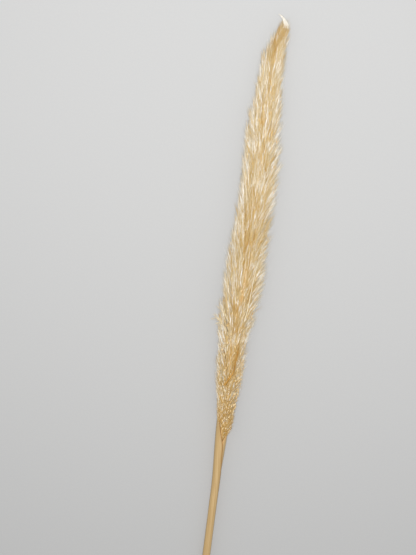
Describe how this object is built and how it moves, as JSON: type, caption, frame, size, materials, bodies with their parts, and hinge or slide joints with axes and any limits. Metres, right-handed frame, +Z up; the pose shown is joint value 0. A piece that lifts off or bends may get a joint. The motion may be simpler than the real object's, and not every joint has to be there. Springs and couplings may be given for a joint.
{
  "type": "dried pampas grass stem",
  "caption": "Cut stem of dried pampas grass lying on its side: a slender silky cream and amber plume, a papery leaf sheath rolled round a straw-coloured culm.",
  "frame": {"origin": "on the surface that the stem lies on, at the middle of the whole stem's length and width", "axes": "+Y along the stem from its cut end to the tip of the plume, +Z up from the surface, +X to the right when looking down with the plume pointing away"},
  "size_m": [0.0413, 0.7468, 0.0319],
  "materials": {
    "dry_culm": "satin straw, finely ribbed along the stem, pale pith at the cut end",
    "papery_sheath": "dry papery leaf, satin, fine lengthwise veins, darker margin",
    "silky_plume": "dense silky hairs in overlapping tufts, cream with amber husks and white tips"
  },
  "bodies": {
    "root": {"culm": "dry_culm", "leaf_sheath": "papery_sheath", "plume": "silky_plume"}
  },
  "joints": []
}
